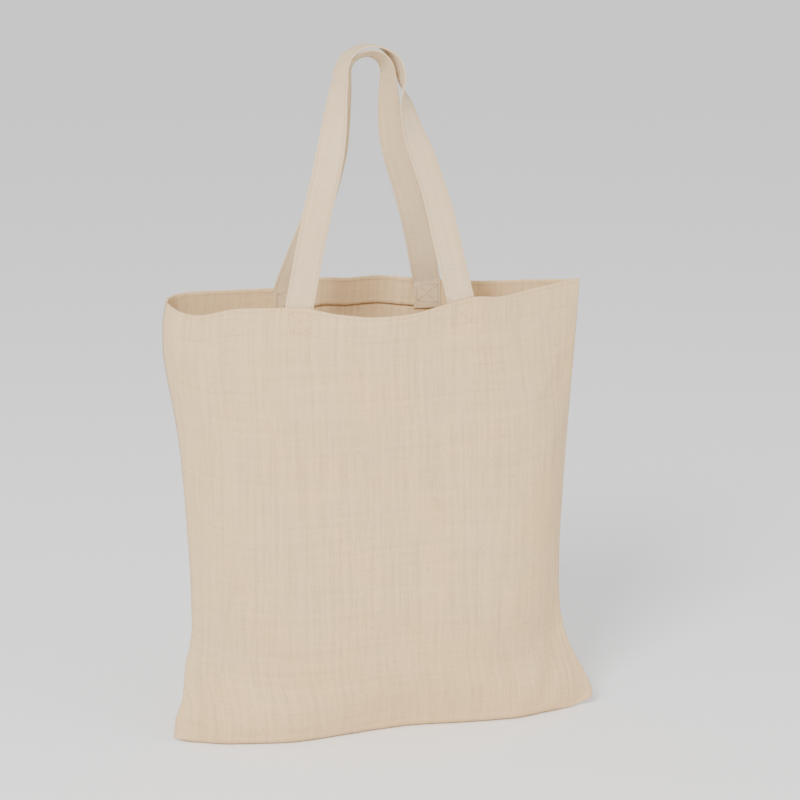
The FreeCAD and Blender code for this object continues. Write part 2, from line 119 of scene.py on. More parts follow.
# Soft folds in a panel: from (x, z) to (x, z), half width, height outwards.
FRONT_FOLDS = [
    (-168, 120, -60, 150, 16, 1.6), (-176, 330, -120, 200, 22, 1.4),
    (172, 150, 90, 190, 15, 1.8), (182, 330, 120, 250, 14, -1.6),
    (150, 318, 172, 345, 5, 1.2), (75, 375, 120, 200, 24, 1.6), (-70, 370, -95, 190, 26, 1.4),
    (0, 372, 10, 250, 30, -2.0), (160, 20, 178, 110, 9, -3.0), (130, 8, 165, 60, 12, 1.8),
    (-150, 10, -166, 90, 14, 1.6), (-80, 30, 60, 42, 18, 1.0), (-40, 90, 80, 80, 20, -0.8),
]
BACK_FOLDS = [
    (-165, 130, -70, 160, 18, 1.8), (165, 160, 80, 140, 18, 1.8), (0, 380, -20, 240, 28, 2.0),
    (70, 375, 100, 210, 22, 1.6), (-70, 375, -110, 220, 22, 1.6), (150, 20, 172, 100, 12, -2.5),
    (-150, 20, -166, 100, 12, -2.5), (-60, 40, 70, 55, 20, 1.2), (90, 300, 150, 340, 14, -1.4),
]

# Handle legs as (x, height). Their distance from the seam plane is worked out from the height.
FRONT_LEFT_LEG = [(-72.7, 411), (-65.2, 441), (-57.3, 471.5), (-50.5, 497), (-42.8, 522.5),
                  (-36.2, 548), (-32.4, 568.6), (-28.8, 589), (-25.8, 604)]
FRONT_RIGHT_LEG = [(73.8, 411), (63.6, 460), (54.6, 504), (46.0, 533), (38.4, 558),
                   (34.0, 577.5), (31.2, 590.5), (29.6, 604)]
BACK_LEFT_LEG = [(-68.0, 411), (-62.2, 428), (-51.7, 456), (-41.5, 483), (-32.5, 512),
                 (-25.0, 545), (-19.6, 580), (-16.4, 605)]
BACK_RIGHT_LEG = [(63.0, 411), (53.2, 455), (42.3, 496), (31.4, 530), (23.6, 564),
                  (20.6, 586), (19.9, 605)]
LEGS = {FRONT: (FRONT_LEFT_LEG, FRONT_RIGHT_LEG), BACK: (BACK_LEFT_LEG, BACK_RIGHT_LEG)}
ARCH = {FRONT: (604.0, 633.4), BACK: (606.0, 626.4)}   # spring line and top of the middle line
ANCHOR_DEPTH = 43.3         # distance of a leg's foot from the seam plane
HANDLE_TOP = 633.0          # height where both handles reach the seam plane
# Turn of the strap's face from facing the front or back to facing the side: (height, degrees).
LEG_TURN = [(411, 0), (467, 2), (505, 15), (537, 20), (560, 35), (579, 50)]
TURN = {
    (FRONT, "left"): LEG_TURN + [(592, 59), (606, 69), (620, 79), (633, 90)],
    (FRONT, "right"): LEG_TURN + [(592, 72), (602, 92), (618, 101), (628, 96), (633, 90)],
    (BACK, "left"): LEG_TURN + [(592, 59), (606, 69), (617, 73), (633, 73)],
    (BACK, "right"): LEG_TURN + [(592, 59), (606, 69), (617, 73), (633, 73)],
}


# ---------------------------------------------------------------- curves and fields

def smooth(t):
    t = np.clip(t, 0.0, 1.0)
    return t * t * (3 - 2 * t)


def curve(knots, at, column=1):
    """Smooth interpolation of a column of listed knots, with no overshoot."""
    x = np.array([k[0] for k in knots], float)
    y = np.array([k[column] for k in knots], float)
    step = np.diff(x)
    slope = np.diff(y) / step
    tangent = np.zeros_like(y)
    tangent[0], tangent[-1] = slope[0], slope[-1]
    same = slope[:-1] * slope[1:] > 0
    product = np.where(same, slope[:-1] * slope[1:], 0)
    total = np.where(same, slope[:-1] + slope[1:], 1)
    tangent[1:-1] = 2 * product / total
    at = np.clip(at, x[0], x[-1])
    i = np.clip(np.searchsorted(x, at, side="right") - 1, 0, len(step) - 1)
    t = (at - x[i]) / step[i]
    return (
        (2 * t**3 - 3 * t**2 + 1) * y[i]
        + (t**3 - 2 * t**2 + t) * step[i] * tangent[i]
        + (3 * t**2 - 2 * t**3) * y[i + 1]
        + (t**3 - t**2) * step[i] * tangent[i + 1]
    )


def waves(seed, count, shortest, longest, stretch=(1.0, 1.0)):
    """A band of sine waves with fixed random directions: returns a field f(x, z) of about +-1."""
    rng = np.random.default_rng(seed)
    length = rng.uniform(shortest, longest, count)
    angle = rng.uniform(0, math.pi, count)
    phase = rng.uniform(0, 2 * math.pi, count)
    kx = 2 * math.pi / length * np.cos(angle) * stretch[0]
    kz = 2 * math.pi / length * np.sin(angle) * stretch[1]

    def field(x, z):
        total = 0
        for a, b, p in zip(kx, kz, phase):
            total = total + np.sin(a * x + b * z + p)
        return total / math.sqrt(count)

    return field


def folds(x, z, lines):
    """The height of the soft folds at a point of a panel."""
    total = np.zeros(np.broadcast(x, z).shape)
    for x0, z0, x1, z1, half_width, height in lines:
        along = np.array([x1 - x0, z1 - z0], float)
        length = np.hypot(*along)
        along /= length
        t = ((x - x0) * along[0] + (z - z0) * along[1]) / length
        away = (x - x0) * along[1] - (z - z0) * along[0]
        past = np.maximum(np.abs(t - 0.5) - 0.5, 0) * length
        fade = np.exp(-((past / (1.2 * half_width)) ** 2)) * (1 - 0.45 * np.clip(t, 0, 1))
        total += height * fade * np.exp(-((away / half_width) ** 2))
    return total


# ---------------------------------------------------------------- the bag's wall

class Wall:
    """The outer face of one panel. u runs from -1 at the left seam to 1 at the right seam."""

    def __init__(self, sign, rim, fold_lines, seed):
        self.sign = sign
        self.rim = rim
        self.fold_lines = fold_lines
        self.broad = waves(seed, 7, 70, 150)
        self.medium = waves(seed + 1, 9, 24, 50)
        self.fine = waves(seed + 2, 12, 7, 15)
        self.hem = waves(seed + 3, 8, 7, 13, (1.0, 0.25))

    def rim_height(self, u):
        return curve(self.rim, u, 2)

    def x(self, u, z):
        """Distance along the width, from u."""
        left, right = curve(LEFT_SEAM, z), curve(RIGHT_SEAM, z)
        return (left + right) / 2 + u * (right - left) / 2

    def u_at(self, x, z):
        """The u of a place along the width."""
        left, right = curve(LEFT_SEAM, z), curve(RIGHT_SEAM, z)
        return (x - (left + right) / 2) / ((right - left) / 2)

    def depth(self, u, z):
        """Distance of the outer face from the seam plane."""
        from_seam = 1 - np.abs(u)
        side = smooth(u * 1.5 + 0.5)
        box = curve(LEFT_BOX, z) * (1 - side) + curve(RIGHT_BOX, z) * side
        pinch = curve(LEFT_PINCH, z) * (1 - side) + curve(RIGHT_PINCH, z) * side
        share = np.clip(1 - np.abs(u) ** box, 0, 1) ** pinch
        body = curve(DEPTH, z) * share
        if self.sign == FRONT:
            body = body * (1 + (curve(FOOT, u) - 1) * (1 - smooth(z / FOOT_FADE)))
        top = self.rim_height(u)
        near_rim = smooth((z - (top - RIM_BLEND)) / RIM_BLEND)
        depth = body * (1 - near_rim) + curve(self.rim, u, 1) * near_rim
        depth = depth + self.relief(u, z) * np.minimum(1, from_seam / RELIEF_SHARE)
        return np.maximum(depth, CLOTH / 2 + SEAM_ROOM * smooth(from_seam / SEAM_SHARE))

    def relief(self, u, z):
        """Height of the folds, waves, puckers and stitch rows on the outer face."""
        x = self.x(u, z)
        top = self.rim_height(u)
        below = top - z
        loose = 1 - smooth((z - (top - RIM_CALM)) / 40)
        in_hem = smooth((HEM_DEPTH + 4 - below) / 6)
        shape = folds(x, z, self.fold_lines) * loose
        shape += BROAD_WAVE * self.broad(x, z) * loose
        shape += MEDIUM_WAVE * self.medium(x, z) * (0.4 + 0.6 * loose)
        shape += FINE_WAVE * self.fine(x, z)
        shape += HEM_PUCKER * self.hem(x, z) * in_hem
        for row in (HEM_ROW, RIM_ROW):
            shape -= ROW_DENT * np.exp(-(((below - row) / 1.3) ** 2))
        shape += HEM_STEP * np.exp(-(((below - HEM_DEPTH) / 1.6) ** 2))
        return shape

    def point(self, u, z):
        """The outer face in space."""
        u, z = np.broadcast_arrays(np.asarray(u, float), np.asarray(z, float))
        return np.stack([self.x(u, z), self.sign * self.depth(u, z), z], -1)

    def normal(self, u, z, step=1.5):
        across = self.point(np.minimum(u + 0.008, 1), z) - self.point(np.maximum(u - 0.008, -1), z)
        up = self.point(u, z + step) - self.point(u, z - step)
        n = np.cross(across, up) * -self.sign
        n /= np.linalg.norm(n, axis=-1, keepdims=True)
        return n

    def floor(self, u):
        """How far the bottom seam is off the ground."""
        lift = np.where(u < 0, CORNER_LIFT[-1], CORNER_LIFT[1])
        return lift * smooth((np.abs(u) - 0.9) / 0.1) + 0.35


FRONT_WALL = Wall(FRONT, FRONT_RIM, FRONT_FOLDS, 11)
BACK_WALL = Wall(BACK, BACK_RIM, BACK_FOLDS, 47)
WALLS = {FRONT: FRONT_WALL, BACK: BACK_WALL}
SIDE = {FRONT: "front", BACK: "back"}


def panel_grid(wall, columns=201):
    """The middle of the cloth, from the bottom seam up over the rim and down to the hem's edge."""
    t = np.linspace(-1, 1, columns)
    u = np.sin(t * math.pi / 2) * 0.25 + t * 0.75
    low = wall.floor(u)
    foot = np.maximum(wall.depth(u, low + TURN_RADIUS) - CLOTH / 2, 0)
    turn = np.minimum(TURN_RADIUS, 0.6 * foot)
    rows = []
    for share in np.linspace(0, 1, 9):
        rows.append((wall.x(u, low + turn), (foot - turn) * share, low))
    for angle in np.linspace(-90, 0, 9)[1:-1]:
        a = math.radians(angle)
        rows.append((wall.x(u, low + turn), foot - turn * (1 - math.cos(a)),
                     low + turn * (1 + math.sin(a))))
    top = wall.rim_height(u) - ROLL - CLOTH / 2
    hem_start = top - 30
    for share in np.linspace(0, 1, 116):
        z = low + turn + (hem_start - low - turn) * share
        rows.append((wall.x(u, z), np.maximum(wall.depth(u, z) - CLOTH / 2, 0), z))
    for share in np.linspace(0, 1, 28)[1:]:
        z = hem_start + 30 * share
        rows.append((wall.x(u, z), np.maximum(wall.depth(u, z) - CLOTH / 2, 0), z))
    in_x = 1 - 2 * ROLL / 190
    base_depth = rows[-1][1]
    for angle in np.linspace(0, 180, 9)[1:]:
        a = math.radians(angle)
        back = ROLL * (1 - math.cos(a))
        x = wall.x(u, top) * (1 - (1 - in_x) * (1 - math.cos(a)) / 2)
        depth = np.maximum(base_depth - back, 0.4 - 0.2 * back)
        rows.append((x, depth, top + ROLL * math.sin(a)))
    for share in np.linspace(0, 1, 16)[1:]:
        z = top - (HEM_DEPTH - 1) * share
        depth = np.maximum(wall.depth(u, z) - CLOTH / 2 - 2 * ROLL - 0.2 * share, 0.1)
        rows.append((wall.x(u, z) * in_x, depth, z))
    grid = np.stack([np.stack([x, wall.sign * d, z], -1) for x, d, z in rows])
    if wall.sign == BACK:
        grid = grid[:, ::-1]
    return grid


# ---------------------------------------------------------------- mesh tools

def make_object(name, vertices, faces, material, flat=None):
    """A mesh object from millimetre vertices. flat is each vertex's place on the flat cloth."""
    mesh = bpy.data.meshes.new(name)
    mesh.from_pydata((np.asarray(vertices) * MM).tolist(), [], [list(map(int, f)) for f in faces])
    if flat is not None:
        layer = mesh.uv_layers.new(name="cloth")
        index = np.zeros(len(mesh.loops), np.int32)
        mesh.loops.foreach_get("vertex_index", index)
        layer.data.foreach_set("uv", (np.asarray(flat) * MM)[index].astype(np.float32).ravel())
    mesh.materials.append(material)
    mesh.shade_smooth()
    mesh.validate()
    mesh.update()
    item = bpy.data.objects.new(name, mesh)
    bpy.context.scene.collection.objects.link(item)
    return item


def grid_normals(grid):
    across = np.gradient(grid, axis=1)
    up = np.gradient(grid, axis=0)
    n = np.cross(across, up)
    length = np.linalg.norm(n, axis=-1, keepdims=True)
    return n / np.maximum(length, 1e-9)


def flat_map(grid):
    """Distances along the cloth, from the middle column and from the first row."""
    across = np.linalg.norm(np.diff(grid, axis=1), axis=-1)
    across = np.concatenate([np.zeros((grid.shape[0], 1)), np.cumsum(across, 1)], 1)
    across -= across[:, grid.shape[1] // 2][:, None]
    up = np.linalg.norm(np.diff(grid, axis=0), axis=-1)
    up = np.concatenate([np.zeros((1, grid.shape[1])), np.cumsum(up, 0)], 0)
    middle = up[:, grid.shape[1] // 2][:, None]
    return np.stack([across, 0.5 * up + 0.5 * np.repeat(middle, grid.shape[1], 1)], -1)


def thick_sheet(name, grid, thickness, material):
    """A closed sheet round a grid of middle points."""
    rows, columns = grid.shape[:2]
    normals = grid_normals(grid)
    flat = flat_map(grid).reshape(-1, 2)
    outer = (grid + normals * thickness / 2).reshape(-1, 3)
    inner = (grid - normals * thickness / 2).reshape(-1, 3)
    count = rows * columns
    index = np.arange(count).reshape(rows, columns)
    a, b = index[:-1, :-1].ravel(), index[:-1, 1:].ravel()
    c, d = index[1:, 1:].ravel(), index[1:, :-1].ravel()
    faces = [np.stack([a, b, c, d], 1), np.stack([a, d, c, b], 1) + count]
    rings = [index[0, :], index[:, -1], index[-1, ::-1], index[::-1, 0]]
    for ring in rings:
        s, e = ring[:-1], ring[1:]
        faces.append(np.stack([e, s, s + count, e + count], 1))
    return make_object(
        name, np.concatenate([outer, inner]), np.concatenate(faces), material,
        np.concatenate([flat, flat]),
    )


def loft(name, centres, across, normals, section, material, flat_offset=0.0):
    """A closed strap: the section's (across, off the face) points carried along a path."""
    stations, ring = len(centres), len(section)
    a = np.array([p[0] for p in section])
    n = np.array([p[1] for p in section])
    points = (centres[:, None] + across[:, None] * a[None, :, None]
              + normals[:, None] * n[None, :, None])
    length = np.concatenate([[0], np.cumsum(np.linalg.norm(np.diff(centres, axis=0), axis=1))])
    edge = np.stack([a, n], 1)
    girth = np.concatenate([[0], np.cumsum(np.linalg.norm(np.diff(edge, axis=0), axis=1))])
    flat = np.stack(np.broadcast_arrays(girth[None, :] + flat_offset, length[:, None]), -1)
    index = np.arange(stations * ring).reshape(stations, ring)
    after = np.roll(index, -1, axis=1)
    faces = np.stack([index[:-1], after[:-1], after[1:], index[1:]], -1).reshape(-1, 4).tolist()
    faces.append(index[0, ::-1].tolist())
    faces.append(index[-1].tolist())
    return make_object(name, points.reshape(-1, 3), faces, material, flat.reshape(-1, 2))


def tube(name, path, radius, material, sides=5):
    """A round thread along a path."""
    along = np.gradient(path, axis=0)
    along /= np.linalg.norm(along, axis=1, keepdims=True)
    side = np.cross(along, np.array([0.0, 0.0, 1.0]))
    side /= np.maximum(np.linalg.norm(side, axis=1, keepdims=True), 1e-6)
    other = np.cross(side, along)
    section = [(radius * math.cos(a), radius * math.sin(a))
               for a in np.linspace(0, 2 * math.pi, sides + 1)[:-1]]
    return loft(name, path, side, other, section[::-1], material)


def stitches(name, runs, material, pitch=3.2, length=2.6, width=0.5, height=0.32, sunk=0.1):
    """Lockstitches along each run of (points, normals), as separate short humps of thread."""
    rng = np.random.default_rng(len(name))
    along_steps = np.array([-1.0, -0.75, -0.3, 0.3, 0.75, 1.0])
    radius = np.array([0.25, 0.75, 1.0, 1.0, 0.75, 0.25])
    lift = np.array([-0.45, 0.05, 0.35, 0.35, 0.05, -0.45])
    around = np.linspace(0, 2 * math.pi, 7)[:-1]
    vertices, faces = [], []
    for points, normals in runs:
        step = np.linalg.norm(np.diff(points, axis=0), axis=1)
        travelled = np.concatenate([[0], np.cumsum(step)])
        count = max(1, int(travelled[-1] / pitch))
        centres_at = (np.arange(count) + 0.5) * travelled[-1] / count
        for at in centres_at:
            at = at + rng.uniform(-0.12, 0.12)
            size = length * rng.uniform(0.93, 1.05)
            ends = [np.array([np.interp(at + s * size / 2, travelled, points[:, k])
                              for k in range(3)]) for s in (-1, 1)]
            normal = np.array([np.interp(at, travelled, normals[:, k]) for k in range(3)])
            normal /= np.linalg.norm(normal)
            tangent = ends[1] - ends[0]
            reach = np.linalg.norm(tangent) / 2
            if reach < 0.2:
                continue
            tangent /= 2 * reach
            side = np.cross(normal, tangent)
            side /= np.linalg.norm(side)
            tilt = rng.uniform(-0.1, 0.1)
            middle = (ends[0] + ends[1]) / 2
            start = len(vertices)
            for s, r, up in zip(along_steps, radius, lift):
                centre = (middle + tangent * s * reach + side * s * tilt * width
                          + normal * (up * height - sunk * 0.3))
                for angle in around:
                    vertices.append(centre + side * math.cos(angle) * r * width / 2
                                    + normal * math.sin(angle) * r * height / 2)
            for i in range(len(along_steps) - 1):
                for k in range(6):
                    a = start + i * 6 + k
                    b = start + i * 6 + (k + 1) % 6
                    faces.append([a, b, b + 6, a + 6])
            faces.append([start + k for k in range(5, -1, -1)])
            last = start + (len(along_steps) - 1) * 6
            faces.append([last + k for k in range(6)])
    return make_object(name, vertices, faces, material)


# ---------------------------------------------------------------- materials

class Nodes:
    """Short names for building a material's node tree."""

    def __init__(self, name):
        self.material = bpy.data.materials.new(name)
        self.material.use_nodes = True
        self.tree = self.material.node_tree
        self.shader = self.tree.nodes["Principled BSDF"]

    def add(self, kind, **settings):
        node = self.tree.nodes.new(kind)
        for key, value in settings.items():
            setattr(node, key, value)
        return node

    def link(self, source, target):
        self.tree.links.new(source, target)

    def math(self, operation, first, second=None):
        node = self.add("ShaderNodeMath", operation=operation)
        for socket, value in zip(node.inputs, (first, second)):
            if value is None:
                continue
            if isinstance(value, (int, float)):
                socket.default_value = value
            else:
                self.link(value, socket)
        return node.outputs[0]

    def mapped(self, source, scale):
        node = self.add("ShaderNodeMapping")
        node.inputs["Scale"].default_value = scale
        self.link(source, node.inputs["Vector"])
        return node.outputs["Vector"]

    def noise(self, vector, scale, detail=2.0, rough=0.5):
        node = self.add("ShaderNodeTexNoise")
        node.inputs["Scale"].default_value = scale
        node.inputs["Detail"].default_value = detail
        node.inputs["Roughness"].default_value = rough
        self.link(vector, node.inputs["Vector"])
        return node.outputs["Fac"]

    def ramp(self, factor, stops):
        node = self.add("ShaderNodeValToRGB")
        elements = node.color_ramp.elements
        while len(elements) < len(stops):
            elements.new(0.5)
        for element, (place, colour) in zip(elements, stops):
            element.position = place
            element.color = (*colour, 1)
        self.link(factor, node.inputs["Fac"])
        return node.outputs["Color"]

    def mix(self, factor, first, second, blend="MIX"):
        node = self.add("ShaderNodeMix", data_type="RGBA", blend_type=blend)
        for socket, value in ((node.inputs["Factor"], factor), (node.inputs["A"], first),
                              (node.inputs["B"], second)):
            if isinstance(value, (int, float)):
                socket.default_value = value
            elif isinstance(value, tuple):
                socket.default_value = (*value, 1)
            else:
                self.link(value, socket)
        return node.outputs["Result"]


def linear(r, g, b):
    """A colour given as it looks on screen, 0 to 255, in the shader's linear scale."""
    return tuple((c / 255 / 12.92) if c <= 10 else ((c / 255 + 0.055) / 1.055) ** 2.4
                 for c in (r, g, b))


def scaled(colour, factor):
    return tuple(min(1.0, c * factor) for c in colour)


def canvas_material(name, colour, thread=0.62, slub=0.24, fleck=0.55, flat=True, bump=0.35):
    """Plain-woven, slubby canvas. thread is the distance between threads in millimetres."""
    n = Nodes(name)
    if flat:
        coordinates = n.add("ShaderNodeUVMap", uv_map="cloth").outputs["UV"]
    else:
        source = n.add("ShaderNodeTexCoord").outputs["Object"]
        turned = n.add("ShaderNodeMapping")
        turned.inputs["Rotation"].default_value = (math.radians(-90), 0, 0)
        n.link(source, turned.inputs["Vector"])
        coordinates = turned.outputs["Vector"]
    per_thread = 1 / (thread * MM)
    warp = n.noise(n.mapped(coordinates, (per_thread, per_thread / 34, 0)), 1.0, 1.5)
    weft = n.noise(n.mapped(coordinates, (per_thread / 40, per_thread, 0)), 1.0, 1.5)
    wide_warp = n.noise(n.mapped(coordinates, (260, 9, 0)), 1.0, 2.0)
    wide_weft = n.noise(n.mapped(coordinates, (7, 210, 0)), 1.0, 2.0)
    mottle = n.noise(coordinates, 16.0, 3.0)
    mottle_fine = n.noise(coordinates, 75.0, 2.0)
    specks = n.noise(n.mapped(coordinates, (420, 900, 0)), 1.0, 0.0)
    speck_spots = n.noise(coordinates, 210.0, 0.0)

    dark = scaled(colour, 1 - slub * 1.6)
    light = scaled(colour, 1 + slub)
    tone = n.math("ADD", n.math("MULTIPLY", warp, 0.3), n.math("MULTIPLY", weft, 0.18))
    tone = n.math("ADD", tone, n.math("MULTIPLY", wide_warp, 0.34))
    tone = n.math("ADD", tone, n.math("MULTIPLY", wide_weft, 0.18))
    base = n.ramp(tone, [(0.34, dark), (0.5, colour), (0.66, light)])
    warm = (min(1, colour[0] * 1.03), colour[1] * 0.985, colour[2] * 0.9)
    cool = (colour[0] * 0.985, colour[1] * 0.985, min(1, colour[2] * 1.06))
    tint = n.ramp(mottle, [(0.36, warm), (0.52, colour), (0.66, cool)])
    base = n.mix(0.42, base, tint)
    base = n.mix(n.math("MULTIPLY", mottle_fine, 0.16), base, scaled(colour, 0.93))
    spot = n.math("MULTIPLY", n.math("GREATER_THAN", specks, 0.71),
                  n.math("GREATER_THAN", speck_spots, 0.62))
    base = n.mix(n.math("MULTIPLY", spot, fleck), base, scaled(colour, 0.45))
    n.link(base, n.shader.inputs["Base Color"])

    split = n.add("ShaderNodeSeparateXYZ")
    n.link(coordinates, split.inputs["Vector"])
    turn = 2 * math.pi * per_thread
    across = n.math("SINE", n.math("MULTIPLY", split.outputs["X"], turn))
    up = n.math("SINE", n.math("MULTIPLY", split.outputs["Y"], turn))
    weave = n.math("MULTIPLY", across, up)
    relief = n.math("ADD", n.math("MULTIPLY", weave, 0.22), n.math("MULTIPLY", warp, 0.7))
    relief = n.math("ADD", relief, n.math("MULTIPLY", weft, 0.5))
    relief = n.math("ADD", relief, n.math("MULTIPLY", wide_warp, 0.8))
    relief = n.math("ADD", relief, n.math("MULTIPLY", wide_weft, 0.5))
    bumps = n.add("ShaderNodeBump")
    bumps.inputs["Strength"].default_value = bump
    bumps.inputs["Distance"].default_value = 0.25 * MM
    n.link(relief, bumps.inputs["Height"])
    n.link(bumps.outputs["Normal"], n.shader.inputs["Normal"])
    n.shader.inputs["Roughness"].default_value = 0.92
    n.shader.inputs["Specular IOR Level"].default_value = 0.12
    n.shader.inputs["Sheen Weight"].default_value = 0.12
    n.shader.inputs["Sheen Roughness"].default_value = 0.6
    return n.material


def thread_material(name, colour):
    """Spun sewing thread: two plies, a little fuzz."""
    n = Nodes(name)
    source = n.add("ShaderNodeTexCoord").outputs["Object"]
    plies = n.add("ShaderNodeTexWave", wave_type="BANDS", bands_direction="DIAGONAL")
    plies.inputs["Scale"].default_value = 900.0
    plies.inputs["Distortion"].default_value = 1.5
    n.link(source, plies.inputs["Vector"])
    fuzz = n.noise(source, 1400.0, 2.0)
    shade = n.mix(plies.outputs["Fac"], scaled(colour, 0.86), scaled(colour, 1.06))
    shade = n.mix(n.math("MULTIPLY", fuzz, 0.3), shade, scaled(colour, 0.8))
    n.link(shade, n.shader.inputs["Base Color"])
    bumps = n.add("ShaderNodeBump")
    bumps.inputs["Strength"].default_value = 0.4
    bumps.inputs["Distance"].default_value = 0.1 * MM
    n.link(n.math("ADD", plies.outputs["Fac"], fuzz), bumps.inputs["Height"])
    n.link(bumps.outputs["Normal"], n.shader.inputs["Normal"])
    n.shader.inputs["Roughness"].default_value = 0.75
    n.shader.inputs["Specular IOR Level"].default_value = 0.25
    return n.material


CANVAS_COLOUR = linear(223, 190, 143)
CANVAS = canvas_material("canvas", CANVAS_COLOUR)
STRAP = canvas_material("strap", linear(216, 191, 153), thread=0.5, slub=0.12, fleck=0.4)
SEAM_CLOTH = canvas_material("seam_cloth", CANVAS_COLOUR, flat=False)
THREAD = thread_material("sewing_thread", linear(205, 172, 128))
OVERLOCK = thread_material("overlock_thread", linear(232, 220, 198))


# ---------------------------------------------------------------- panels, hems and their stitches

def declare(item, body, slot, *nodes):
    """Ties a piece to its body and hides the nodes that it stands for. slot is not used."""
    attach(item, body)
    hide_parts(*nodes)
    return item


def make_panel(sign):
    side = SIDE[sign]
    item = thick_sheet(f"{side}_panel_canvas", panel_grid(WALLS[sign]), CLOTH, CANVAS)
    return declare(item, "bag", "canvas", f"{side}_panel", f"{side}_hem")


def hem_rows(sign):
    """The two rows of stitching round one panel, on its outer face and on the hem's inner face."""
    wall = WALLS[sign]
    side = SIDE[sign]
    u = np.linspace(-0.985, 0.985, 400)
    keep = slice(12, -12)
    for row, below in (("hem", HEM_ROW), ("rim", RIM_ROW)):
        z = wall.rim_height(u) - below
        wobble = 0.15 * np.sin(u * 37 + below)
        points = wall.point(u, z + wobble)
        normals = wall.normal(u, z)
        item = stitches(f"{side}_{row}_stitches_outer", [(points, normals)], THREAD)
        declare(item, "bag", "sewing_thread", f"{side}_{row}_stitch_outer")
        inside = points - normals * (CLOTH + 2 * ROLL + THREAD_LIFT)
        item = stitches(f"{side}_{row}_stitches_inner", [(inside[keep], -normals[keep])], THREAD)
        declare(item, "bag", "sewing_thread", f"{side}_{row}_stitch_inner")


# ---------------------------------------------------------------- handles

def leg_depth(z):
    share = np.clip((z - LEG_START) / (HANDLE_TOP - LEG_START), 0, 1)
    return ANCHOR_DEPTH * (1 - share)


def leg_path(sign, leg):
    """Points up one leg, from the rim to the arch's spring line."""
    z = np.linspace(LEG_START, ARCH[sign][0], 70)
    x = curve([(height, across) for across, height in leg], z)
    return np.stack([x, sign * leg_depth(z), z], -1)


def tab_path(wall, x):
    """Points up a strap's sewn end, inside the hem."""
    z = np.linspace(LEG_START - TAB_DEPTH, LEG_START - 1, 14)
    u = wall.u_at(x, z)
    inset = 2 * ROLL + CLOTH + STRAP_THICKNESS / 2 + TAB_GAP
    return wall.point(u, z) - wall.normal(u, z) * inset


def arch_path(sign, left_x, right_x):
    spring, top = ARCH[sign]
    angle = np.linspace(180, 0, 41)[1:-1] * math.pi / 180
    z = spring + (top - spring) * np.sin(angle)
    x = (left_x + right_x) / 2 + (right_x - left_x) / 2 * np.cos(angle)
    return np.stack([x, sign * leg_depth(z), z], -1)


def handle_path(sign):
    """Middle points, width directions and face normals along one handle, left end to right."""
    wall = WALLS[sign]
    left_leg, right_leg = LEGS[sign]
    left, right = leg_path(sign, left_leg), leg_path(sign, right_leg)
    left_x, right_x = left[-1][0], right[-1][0]
    above = np.concatenate([left, arch_path(sign, left_x, right_x), right[::-1]])
    tab_left = tab_path(wall, left_leg[0][0])
    tab_right = tab_path(wall, right_leg[0][0])[::-1]
    # The legs start where the tabs end, and ease to their own line.
    for leg, tab_end in ((above[:20], tab_left[-1]), (above[::-1][:20], tab_right[0])):
        gap = tab_end[:2] - leg[0][:2]
        ease = 1 - smooth(np.linspace(0, 1, len(leg)))
        leg[:, :2] += gap * ease[:, None]
    path = np.concatenate([tab_left, above, tab_right])
    along = np.gradient(path, axis=0)
    along /= np.linalg.norm(along, axis=1, keepdims=True)

    height = path[:, 2]
    on_left = np.arange(len(path)) < len(path) // 2
    turn = np.radians(np.where(on_left, curve(TURN[sign, "left"], height),
                               curve(TURN[sign, "right"], height)))
    # The face follows the hem at its end, then the front or the back, and turns outwards higher up.
    ends = [wall.normal(wall.u_at(tab[0], 408), 408.0) for tab in (tab_left[-1], tab_right[0])]
    base = np.where(on_left[:, None], ends[0], ends[1])
    high = smooth((height - LEG_START) / 90)[:, None]
    base = base * (1 - high) + np.array([0, sign, 0.0]) * high
    spring = ARCH[sign][0]
    radial = path - np.array([(left_x + right_x) / 2, 0, spring])
    radial[:, 1] = 0
    radial /= np.maximum(np.linalg.norm(radial, axis=1, keepdims=True), 1e-6)
    outward = np.where(on_left[:, None], np.array([-1.0, 0, 0]), np.array([1.0, 0, 0]))
    outward = np.where(height[:, None] > spring, radial, outward)
    normal = base * np.cos(turn)[:, None] + outward * np.sin(turn)[:, None]
    normal -= along * np.sum(normal * along, axis=1, keepdims=True)
    normal /= np.linalg.norm(normal, axis=1, keepdims=True)
    return path, np.cross(along, normal), normal


def strap_section():
    """The folded strap's outline: plump folded edges, drawn in at the stitches."""
    half = STRAP_WIDTH / 2
    face = []
    for x in np.linspace(-half + 0.8, half - 0.8, 27):
        dip = 0.2 * math.exp(-(((abs(x) - STRAP_ROW) / 0.7) ** 2))
        plump = 0.08 * math.exp(-(((abs(x) - half + 1.2) / 0.9) ** 2))
        face.append((x, STRAP_THICKNESS / 2 - dip + plump))
    edge = [(half - 0.8 + 0.8 * math.sin(a), STRAP_THICKNESS / 2 * math.cos(a))
            for a in np.linspace(0, math.pi, 7)[1:-1]]
    top = face + edge
    bottom = [(-x, -y) for x, y in face] + [(-x, -y) for x, y in edge]
    return (top + bottom)[::-1]


def soften(path, normal, seed):
    """A slow wave along the free part of a cloth strap."""
    length = np.concatenate([[0], np.cumsum(np.linalg.norm(np.diff(path, axis=0), axis=1))])
    slow = waves(seed, 4, 45, 95)
    height = path[:, 2]
    free = smooth((height - 420) / 40) * (1 - smooth((height - 600) / 20))
    return path + normal * (0.7 * slow(length, 0 * length) * free)[:, None]


